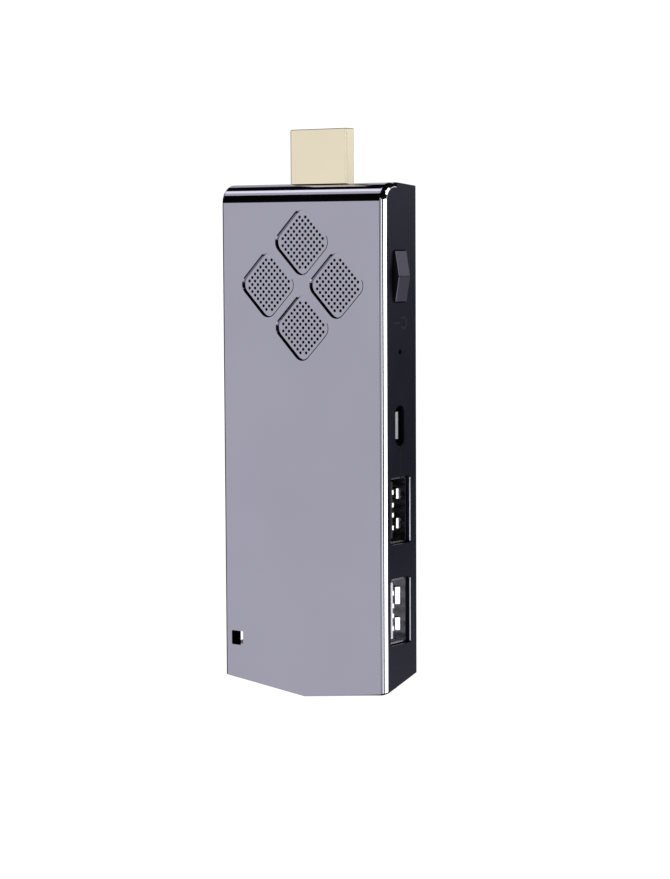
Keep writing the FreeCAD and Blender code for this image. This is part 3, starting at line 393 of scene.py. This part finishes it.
def dress_all():
    """Give every CAD node its material."""
    dress(cover_material(), "front_cover")
    dress(shell_material(), "rear_shell")
    dress(gold_material(), "hdmi_shell")
    dress(mesh_material(), "vent_mesh")
    dress(board_material(), "main_board")
    dress(pipe_material(), "light_pipe")
    dress(plastic("foam_tape", rgb(4, 4, 5), rgb(10, 10, 12), 0.8, 9000.0).material, "cover_tape")
    dress(button_material(), "power_button")
    dress(plastic("black_insulator", rgb(8, 8, 9), rgb(16, 16, 18), 0.45).material,
          "hdmi_insulator", "usb_1_insulator", "switch_base")
    dress(plastic("pale_insulator", rgb(205, 204, 214), rgb(226, 225, 232), 0.4).material,
          "usb_2_insulator", "micro_usb_tongue")
    dress(metal("contact_gold", rgb(214, 168, 88), rgb(238, 198, 120), 0.25), "hdmi_contacts")
    # Painted shade: the micro-USB shell and contacts are given a near-black metal so the socket reads as
    # dark inside.
    dress(metal("painted_shade_nickel", rgb(24, 24, 27), rgb(34, 34, 38), 0.35), "micro_usb_shell",
          "micro_usb_contacts")
    dress(metal("contact_tin", rgb(216, 210, 196), rgb(236, 231, 220), 0.3),
          "usb_1_contacts", "usb_2_contacts")
    dress(metal("port_nickel", rgb(196, 196, 202), rgb(222, 222, 228), 0.2, (0.2, 1.0, 1.0)),
          "usb_1_shell", "usb_2_shell")
    dress(metal("tin_can", rgb(176, 176, 178), rgb(204, 204, 204), 0.34, (1.0, 1.0, 0.3)),
          "wifi_can", "wifi_antenna", "clock_crystals", "switch_cover", "switch_dome")
    dress(metal("zinc_screw", rgb(150, 150, 156), rgb(190, 190, 194), 0.3), "board_screws")
    dress(metal("sink_aluminium", rgb(168, 168, 172), rgb(196, 196, 200), 0.36, (1.0, 1.0, 0.15)),
          "heat_sink")
    dress(plastic("chip_epoxy", rgb(18, 18, 19), rgb(26, 26, 27), 0.5, 7000.0).material,
          "soc_chip", "memory_chips", "flash_chip", "power_chip", "usb_hub_chip")
    dress(plastic("gap_pad", rgb(120, 130, 142), rgb(138, 148, 158), 0.7, 3000.0).material,
          "thermal_pad")
    dress(plastic("ferrite", rgb(44, 44, 47), rgb(60, 60, 63), 0.6, 4000.0).material,
          "power_inductors")
    dress(plastic("ceramic_brown", rgb(120, 86, 52), rgb(148, 108, 68), 0.4, 6000.0).material,
          "filter_capacitors")
    dress(plastic("module_board", rgb(10, 26, 60), rgb(16, 36, 78), 0.35, 3000.0).material,
          "wifi_module")
    dress(plastic("plunger_plastic", rgb(196, 190, 170), rgb(210, 204, 186), 0.4).material,
          "switch_plunger")
    dress(plastic("led_resin", rgb(226, 226, 200), rgb(240, 240, 218), 0.2, 3000.0).material,
          "status_led")


# ---- Detail pieces -------------------------------------------------------------------------


def mesh_object(name, build, material):
    """Make a flat-shaded mesh object with a bmesh builder and let it ride on the case."""
    data = bpy.data.meshes.new(name)
    shape = bmesh.new()
    build(shape)
    bmesh.ops.recalc_face_normals(shape, faces=shape.faces)
    shape.to_mesh(data)
    shape.free()
    item = bpy.data.objects.new(name, data)
    bpy.context.scene.collection.objects.link(item)
    data.materials.append(material)
    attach(item, "case")


def skin(shape, rings):
    """Join four-cornered rings into one closed solid."""
    for first, second in zip(rings, rings[1:]):
        for k in range(4):
            shape.faces.new((first[k], first[(k + 1) % 4], second[(k + 1) % 4], second[k]))
    shape.faces.new(rings[0])
    shape.faces.new(list(reversed(rings[-1])))


def sweep_strip(points, span, thickness):
    """Return a builder for a bent strip: points are (x, y), and its width spans two heights in Z."""
    low, high = span

    def build(shape):
        rings = []
        for index, (x, y) in enumerate(points):
            before = Vector(points[max(index - 1, 0)])
            after = Vector(points[min(index + 1, len(points) - 1)])
            along = (after - before).normalized()
            side = Vector((-along.y, along.x)) * thickness / 2
            corners = ((1, low), (1, high), (-1, high), (-1, low))
            rings.append([shape.verts.new((x + s * side.x, y + s * side.y, z)) for s, z in corners])
        skin(shape, rings)
    return build


def usb_springs(material):
    """Two sprung fingers in each USB shell's back wall: bent in, with a turned-up tip.

    The lower port's fingers are wider and stand further in, so they catch more light.
    """
    for port, kind in SPRINGS.items():
        low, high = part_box(f"usb_{port}_shell")
        centre = (low.z + high.z) / 2
        wall = high.y - SPRING_WALL
        start = high.x - SPRING_ROOT
        bend = []
        for step in range(SPRING_STEPS + 1):
            share = step / SPRING_STEPS
            inward = kind["inward"] * MM * math.sin(share * math.pi / 2) ** 2
            bend.append((start + share * kind["reach"] * MM, wall - inward))
        x, y = bend[-1]
        bend.append((x + TIP_OUT * kind["turn"] * MM, y + TIP_BACK * kind["turn"] * MM))
        for number, (below, above) in enumerate(kind["spans"]):
            span = (centre + below * MM, centre + above * MM)
            mesh_object(f"usb_{port}_spring_{number}", sweep_strip(bend, span, SPRING_THICKNESS),
                        material)


def contact_noses(material):
    """The folded front ends of the USB contacts, over the tip of each tongue."""
    for port in (1, 2):
        low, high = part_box(f"usb_{port}_contacts")
        middle = (low.z + high.z) / 2
        fold = [(high.x + x, low.y + y) for x, y in NOSE_FOLD]
        for number, across in enumerate(NOSE_PLACES):
            span = (middle + (across - NOSE_HALF) * MM, middle + (across + NOSE_HALF) * MM)
            mesh_object(f"usb_{port}_nose_{number}", sweep_strip(fold, span, NOSE_THICKNESS),
                        material)


def mouth_lips(material):
    """A thin strip set at a slant along the back edge of each USB opening."""
    for port in (1, 2):
        low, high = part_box(f"usb_{port}_shell")
        middle = (low.z + high.z) / 2
        edges = [(RIGHT + x, FRONT + y) for x, y in LIP_EDGES]
        span = (middle - LIP_HALF, middle + LIP_HALF)
        mesh_object(f"usb_{port}_lip", sweep_strip(edges, span, LIP_THICKNESS), material)


def printed_ribbon(rows):
    """Return a builder for a closed ribbon on the right wall: rows are pairs of (y, z) points."""
    face, under = RIGHT + PRINT_RAISED, RIGHT - PRINT_SUNK

    def build(shape):
        rings = []
        for (y0, z0), (y1, z1) in rows:
            corners = ((face, y0, z0), (face, y1, z1), (under, y1, z1), (under, y0, z0))
            rings.append([shape.verts.new(corner) for corner in corners])
        skin(shape, rings)
    return build


def printed_marks(material, dark):
    """Faint printed marks: an open ring and a bar near the button, and a fine rule by the ports."""
    middle_y, middle_z = RING_CENTRE
    ring = []
    for step in range(RING_STEPS + 1):
        angle = math.pi + RING_GAP + (2 * math.pi - 2 * RING_GAP) * step / RING_STEPS
        reaches = (RING_RADIUS - STROKE / 2, RING_RADIUS + STROKE / 2)
        ring.append([(middle_y + reach * math.cos(angle), middle_z + reach * math.sin(angle))
                     for reach in reaches])
    bar = [[(y, middle_z - STROKE / 2), (y, middle_z + STROKE / 2)] for y in BAR_ENDS]
    rule = [[(y, z) for y in RULE_EDGES] for z in RULE_ENDS]
    mesh_object("power_mark_ring", printed_ribbon(ring), material)
    mesh_object("power_mark_bar", printed_ribbon(bar), material)
    mesh_object("port_mark_rule", printed_ribbon(rule), dark)


# ---- Studio --------------------------------------------------------------------------------


def white_glow(name):
    """Return a plain white glowing material for the stage."""
    material = bpy.data.materials.new(name)
    material.use_nodes = True
    tree = material.node_tree
    tree.nodes.clear()
    glow = tree.nodes.new("ShaderNodeEmission")
    glow.inputs["Color"].default_value = (1, 1, 1, 1)
    glow.inputs["Strength"].default_value = STAGE_GLOW
    out = tree.nodes.new("ShaderNodeOutputMaterial")
    tree.links.new(glow.outputs[0], out.inputs[0])
    return material


def backdrop():
    """A white surround and a pale floor far below the stick, which only the camera sees."""
    bpy.ops.mesh.primitive_uv_sphere_add(segments=48, ring_count=24, radius=DOME_RADIUS)
    dome = bpy.context.object
    dome.name = "backdrop"
    dome.data.materials.append(white_glow("backdrop_white"))
    bpy.ops.mesh.primitive_circle_add(vertices=96, radius=FLOOR_RADIUS, fill_type="NGON",
                                      location=(0, 0, FOOT - FLOOR_DROP))
    floor = bpy.context.object
    floor.name = "floor"
    floor.data.materials.append(white_glow("floor_white"))
    for item in (dome, floor):
        item.visible_glossy = False
        item.visible_diffuse = False
        item.visible_shadow = False
        item.visible_transmission = False


def aim(item, target):
    """Turn a light or camera so that it looks at a point."""
    item.rotation_euler = (target - item.location).to_track_quat("-Z", "Y").to_euler()


def softbox(name, width, height, radiance):
    """A rectangular area light that the camera doesn't see."""
    data = bpy.data.lights.new(name, "AREA")
    data.shape = "RECTANGLE"
    data.size = width
    data.size_y = height
    data.energy = radiance * width * height * math.pi
    item = bpy.data.objects.new(name, data)
    bpy.context.scene.collection.objects.link(item)
    item.visible_camera = False
    return item


def panel(name, azimuth, elevation, width, height, radiance):
    """A softbox that faces the stick. Azimuth 0 is straight in front, 90 to its right."""
    around = math.radians(azimuth)
    up = math.radians(elevation)
    away = Vector((math.sin(around) * math.cos(up), -math.cos(around) * math.cos(up), math.sin(up)))
    item = softbox(name, width, height, radiance)
    item.location = STICK_MIDDLE + away * PANEL_DISTANCE
    aim(item, STICK_MIDDLE)


def long_strip(name, low_angle, high_angle, radiance):
    """A softbox parallel to X, to the left of the cover, between two angles above the horizon."""
    middle = math.radians((low_angle + high_angle) / 2)
    half = math.radians((high_angle - low_angle) / 2)
    height = 2 * STRIP_DISTANCE * math.tan(half)
    item = softbox(name, STRIP_LENGTH, height, radiance)
    item.location = (STRIP_LEFT, -STRIP_DISTANCE * math.cos(middle),
                     STRIP_DISTANCE * math.sin(middle))
    item.rotation_euler = (math.pi / 2 - middle, 0, 0)


def light_only_ports(name):
    """Keep one lamp's light to the USB sockets' pieces."""
    lamp = bpy.data.objects[name]
    lit = bpy.data.collections.new(f"{name}_receivers")
    for item in bpy.context.scene.objects:
        if item.name.startswith(("usb_1_", "usb_2_")):
            lit.objects.link(item)
    lamp.light_linking.receiver_collection = lit


def studio():
    """Soft panels round the stick, placed for the long reflections in its cover and bevels."""
    for strip in STRIPS:
        long_strip(*strip)
    for row in PANELS:
        panel(*row)
    light_only_ports("port_light")
    world = bpy.data.worlds.new("studio_air")
    bpy.context.scene.world = world
    world.use_nodes = True
    air = world.node_tree.nodes["Background"]
    air.inputs["Color"].default_value = AIR_COLOUR
    air.inputs["Strength"].default_value = AIR_GLOW


def camera():
    """The viewpoint: a tenth of a turn to the right, level with the case's top, looking a little down."""
    data = bpy.data.cameras.new("camera")
    data.sensor_width = CAMERA_SENSOR
    data.lens = CAMERA_LENS
    data.clip_start = CAMERA_NEAR
    item = bpy.data.objects.new("camera", data)
    bpy.context.scene.collection.objects.link(item)
    item.location = CAMERA_PLACE
    yaw, pitch, roll = (math.radians(angle) for angle in CAMERA_TURNS)
    turn = Matrix.Rotation(yaw, 4, "Z") @ Matrix.Rotation(math.pi / 2 + pitch, 4, "X")
    item.rotation_euler = (turn @ Matrix.Rotation(roll, 4, "Z")).to_euler()
    bpy.context.scene.camera = item


bpy.context.scene.view_settings.view_transform = "Standard"
dress_all()
usb_springs(metal("spring_nickel", rgb(196, 196, 202), rgb(222, 222, 228), 0.2, (0.2, 1.0, 1.0)))
mouth_lips(metal("lip_nickel", rgb(120, 120, 126), rgb(150, 150, 156), 0.3, (1.0, 1.0, 0.2)))
contact_noses(metal("nose_tin", rgb(200, 200, 200), rgb(225, 225, 225), 0.2))
printed_marks(plastic("mark_print", rgb(40, 40, 54), rgb(47, 47, 62), 0.5).material,
              plastic("mark_black", rgb(5, 5, 7), rgb(9, 9, 12), 0.6).material)
backdrop()
studio()
camera()
